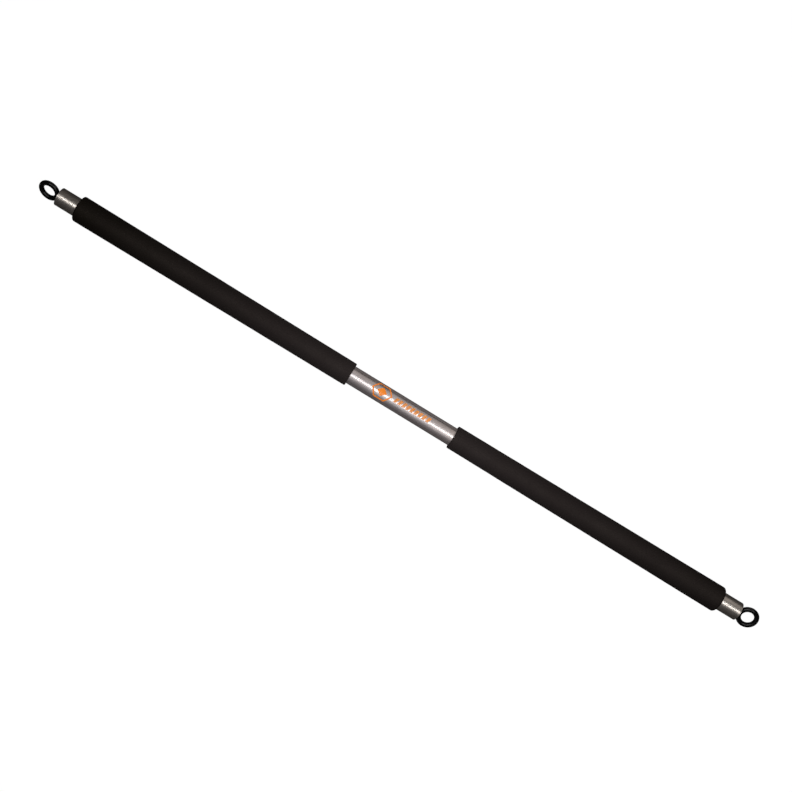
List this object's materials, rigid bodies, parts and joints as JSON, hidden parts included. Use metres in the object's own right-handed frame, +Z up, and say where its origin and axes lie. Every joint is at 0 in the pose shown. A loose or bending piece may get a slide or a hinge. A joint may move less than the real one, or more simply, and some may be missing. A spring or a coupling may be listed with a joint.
{
  "type": "bed cargo bar",
  "caption": "Long round steel bar with a tapered foam sleeve on each half, a bare middle and bare tips, and a round-wire swivel eye in each end for a strap or hook.",
  "frame": {"origin": "middle of the tube's axis, which is the middle of the whole bar", "axes": "+X along the bar towards the right eye, +Z up through the printed mark's side, +Y completes the frame"},
  "size_m": [1.3882, 0.0444, 0.0444],
  "materials": {
    "tube_steel": "satin",
    "foam": "matte",
    "mark_ink": "satin",
    "eye_black": "gloss",
    "zinc_plate": "satin",
    "pin_steel": "satin",
    "bush_nylon": "satin",
    "insert_nylon": "satin"
  },
  "bodies": {
    "bar": {"tube": "tube_steel", "foam_sleeve_left": "foam", "foam_sleeve_right": "foam", "printed_mark": "mark_ink", "end_plug_left": "zinc_plate", "end_plug_right": "zinc_plate", "plug_pin_left": "pin_steel", "plug_pin_right": "pin_steel", "front_bush_left": "bush_nylon", "front_bush_right": "bush_nylon", "rear_bush_left": "bush_nylon", "rear_bush_right": "bush_nylon"},
    "eye_left": {"eye_bolt_left": "eye_black", "washer_left": "zinc_plate", "lock_nut_left": "zinc_plate", "nut_insert_left": "insert_nylon"},
    "eye_right": {"eye_bolt_right": "eye_black", "washer_right": "zinc_plate", "lock_nut_right": "zinc_plate", "nut_insert_right": "insert_nylon"}
  },
  "joints": [
    {"name": "left_eye_swivel", "type": "hinge", "parent": "bar", "child": "eye_left", "pos_m": [-0.642, 0, 0], "axis": [1, 0, 0], "continuous": true},
    {"name": "right_eye_swivel", "type": "hinge", "parent": "bar", "child": "eye_right", "pos_m": [0.642, 0, 0], "axis": [1, 0, 0], "continuous": true}
  ]
}
